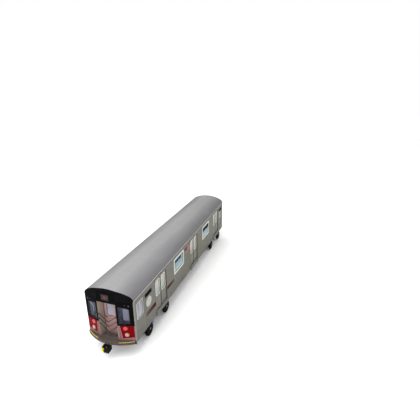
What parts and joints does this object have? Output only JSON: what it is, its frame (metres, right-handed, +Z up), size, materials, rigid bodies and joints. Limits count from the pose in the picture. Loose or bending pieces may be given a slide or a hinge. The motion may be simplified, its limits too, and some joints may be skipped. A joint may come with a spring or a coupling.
{
  "type": "metro car",
  "caption": "Metro cab car with sliding double doors, large windows, a bowed cab front, longitudinal benches, couplers and motor bogies with turning wheelsets.",
  "frame": {"origin": "middle of the car's length between the coupler faces, on its centre line, at the lowest point of the wheel flanges", "axes": "+X forward to the cab end, +Y to the car's left, +Z up"},
  "size_m": [16.5799, 2.696, 3.6999],
  "materials": {
    "body_steel": "brushed stainless sheet, warm grey, with a fine horizontal grain",
    "front_steel": "stainless sheet and black mask of the cab front",
    "roof_paint": "matt grey paint, lighter at the crown",
    "frame_paint": "matt dark paint",
    "window_glass": "pale blue glass",
    "bumper_paint": "matt dark grey-brown paint",
    "seat_plastic": "moulded orange plastic",
    "pole_steel": "polished stainless tube",
    "lining_panel": "pale laminate lining",
    "desk_paint": "textured dark paint",
    "seat_cloth": "dark woven cloth",
    "sign_black": "blank black display panel",
    "lamp_lens": "moulded lamp lens",
    "coupler_iron": "black painted casting",
    "horn_yellow": "yellow paint, chipped",
    "bogie_iron": "black painted casting with brake dust",
    "spring_rubber": "black rubber",
    "wheel_steel": "dark rolled steel, bright at the tread",
    "axle_steel": "dark forged steel",
    "door_steel": "brushed stainless door skin"
  },
  "bodies": {
    "car_body": {"underframe": "frame_paint", "floor_beams": "frame_paint", "bolsters": "frame_paint", "headstocks": "frame_paint", "side_wall_left": "body_steel", "side_wall_right": "body_steel", "roof": "roof_paint", "cab_front": "front_steel", "rear_end": "body_steel", "side_glass": "window_glass", "windscreens": "window_glass", "anticlimbers": "bumper_paint", "bench_seats": "seat_plastic", "grab_poles": "pole_steel", "cab_partition": "lining_panel", "cab_desk": "desk_paint", "cab_seat": "seat_cloth", "underfloor_equipment": "frame_paint", "destination_signs": "sign_black", "headlamps": "lamp_lens"},
    "front_bogie": {"bogie_frame_front": "bogie_iron", "traction_motors_front": "bogie_iron", "journal_boxes_front": "bogie_iron", "air_springs_front": "spring_rubber"},
    "rear_bogie": {"bogie_frame_rear": "bogie_iron", "traction_motors_rear": "bogie_iron", "journal_boxes_rear": "bogie_iron", "air_springs_rear": "spring_rubber"},
    "coupler_arm": {"front_coupler": "coupler_iron", "coupler_horn": "horn_yellow"},
    "drawbar_arm": {"rear_drawbar": "coupler_iron"},
    "cab_end_door": {"front_end_door": "door_steel"},
    "inner_end_door": {"rear_end_door": "door_steel"},
    "wheelset_1": {"wheels_1": "wheel_steel", "axle_1": "axle_steel"},
    "wheelset_2": {"wheels_2": "wheel_steel", "axle_2": "axle_steel"},
    "wheelset_3": {"wheels_3": "wheel_steel", "axle_3": "axle_steel"},
    "wheelset_4": {"wheels_4": "wheel_steel", "axle_4": "axle_steel"},
    "door_left_1_front_leaf": {"door_left_1_front": "door_steel"},
    "door_left_1_rear_leaf": {"door_left_1_rear": "door_steel"},
    "door_left_2_front_leaf": {"door_left_2_front": "door_steel"},
    "door_left_2_rear_leaf": {"door_left_2_rear": "door_steel"},
    "door_left_3_front_leaf": {"door_left_3_front": "door_steel"},
    "door_left_3_rear_leaf": {"door_left_3_rear": "door_steel"},
    "door_right_1_front_leaf": {"door_right_1_front": "door_steel"},
    "door_right_1_rear_leaf": {"door_right_1_rear": "door_steel"},
    "door_right_2_front_leaf": {"door_right_2_front": "door_steel"},
    "door_right_2_rear_leaf": {"door_right_2_rear": "door_steel"},
    "door_right_3_front_leaf": {"door_right_3_front": "door_steel"},
    "door_right_3_rear_leaf": {"door_right_3_rear": "door_steel"}
  },
  "joints": [
    {"name": "front_bogie_swivel", "type": "hinge", "parent": "car_body", "child": "front_bogie", "pos_m": [4.92, 0, 0.6], "axis": [0, 0, 1], "range_deg": [-6, 6]},
    {"name": "rear_bogie_swivel", "type": "hinge", "parent": "car_body", "child": "rear_bogie", "pos_m": [-5.745, 0, 0.6], "axis": [0, 0, 1], "range_deg": [-6, 6]},
    {"name": "wheelset_1_spin", "type": "hinge", "parent": "front_bogie", "child": "wheelset_1", "pos_m": [5.94, 0, 0.458], "axis": [0, 1, 0], "continuous": true},
    {"name": "wheelset_2_spin", "type": "hinge", "parent": "front_bogie", "child": "wheelset_2", "pos_m": [3.9, 0, 0.458], "axis": [0, 1, 0], "continuous": true},
    {"name": "wheelset_3_spin", "type": "hinge", "parent": "rear_bogie", "child": "wheelset_3", "pos_m": [-4.725, 0, 0.458], "axis": [0, 1, 0], "continuous": true},
    {"name": "wheelset_4_spin", "type": "hinge", "parent": "rear_bogie", "child": "wheelset_4", "pos_m": [-6.765, 0, 0.458], "axis": [0, 1, 0], "continuous": true},
    {"name": "door_left_1_front_slide", "type": "slide", "parent": "car_body", "child": "door_left_1_front_leaf", "axis": [1, 0, 0], "range_m": [0, 0.67]},
    {"name": "door_left_1_rear_slide", "type": "slide", "parent": "car_body", "child": "door_left_1_rear_leaf", "axis": [-1, 0, 0], "range_m": [0, 0.67]},
    {"name": "door_left_2_front_slide", "type": "slide", "parent": "car_body", "child": "door_left_2_front_leaf", "axis": [1, 0, 0], "range_m": [0, 0.67]},
    {"name": "door_left_2_rear_slide", "type": "slide", "parent": "car_body", "child": "door_left_2_rear_leaf", "axis": [-1, 0, 0], "range_m": [0, 0.67]},
    {"name": "door_left_3_front_slide", "type": "slide", "parent": "car_body", "child": "door_left_3_front_leaf", "axis": [1, 0, 0], "range_m": [0, 0.67]},
    {"name": "door_left_3_rear_slide", "type": "slide", "parent": "car_body", "child": "door_left_3_rear_leaf", "axis": [-1, 0, 0], "range_m": [0, 0.67]},
    {"name": "door_right_1_front_slide", "type": "slide", "parent": "car_body", "child": "door_right_1_front_leaf", "axis": [1, 0, 0], "range_m": [0, 0.67]},
    {"name": "door_right_1_rear_slide", "type": "slide", "parent": "car_body", "child": "door_right_1_rear_leaf", "axis": [-1, 0, 0], "range_m": [0, 0.67]},
    {"name": "door_right_2_front_slide", "type": "slide", "parent": "car_body", "child": "door_right_2_front_leaf", "axis": [1, 0, 0], "range_m": [0, 0.67]},
    {"name": "door_right_2_rear_slide", "type": "slide", "parent": "car_body", "child": "door_right_2_rear_leaf", "axis": [-1, 0, 0], "range_m": [0, 0.67]},
    {"name": "door_right_3_front_slide", "type": "slide", "parent": "car_body", "child": "door_right_3_front_leaf", "axis": [1, 0, 0], "range_m": [0, 0.67]},
    {"name": "door_right_3_rear_slide", "type": "slide", "parent": "car_body", "child": "door_right_3_rear_leaf", "axis": [-1, 0, 0], "range_m": [0, 0.67]},
    {"name": "front_end_door_hinge", "type": "hinge", "parent": "car_body", "child": "cab_end_door", "pos_m": [7.406, 0.362, 2], "axis": [0, 0, -1], "range_deg": [0, 88]},
    {"name": "rear_end_door_hinge", "type": "hinge", "parent": "car_body", "child": "inner_end_door", "pos_m": [-7.42, 0.362, 2], "axis": [0, 0, 1], "range_deg": [0, 88]},
    {"name": "front_coupler_swing", "type": "hinge", "parent": "car_body", "child": "coupler_arm", "pos_m": [6.95, 0, 0.68], "axis": [0, 0, 1], "range_deg": [-12, 12], "stiffness_Nm_per_rad": 2000},
    {"name": "rear_drawbar_swing", "type": "hinge", "parent": "car_body", "child": "drawbar_arm", "pos_m": [-7.24, 0, 0.68], "axis": [0, 0, 1], "range_deg": [-12, 12], "stiffness_Nm_per_rad": 2000}
  ],
  "couplings": [
    {"joint": "door_left_1_rear_slide", "follows": "door_left_1_front_slide", "ratio": 1},
    {"joint": "door_left_2_rear_slide", "follows": "door_left_2_front_slide", "ratio": 1},
    {"joint": "door_left_3_rear_slide", "follows": "door_left_3_front_slide", "ratio": 1},
    {"joint": "door_right_1_rear_slide", "follows": "door_right_1_front_slide", "ratio": 1},
    {"joint": "door_right_2_rear_slide", "follows": "door_right_2_front_slide", "ratio": 1},
    {"joint": "door_right_3_rear_slide", "follows": "door_right_3_front_slide", "ratio": 1}
  ]
}
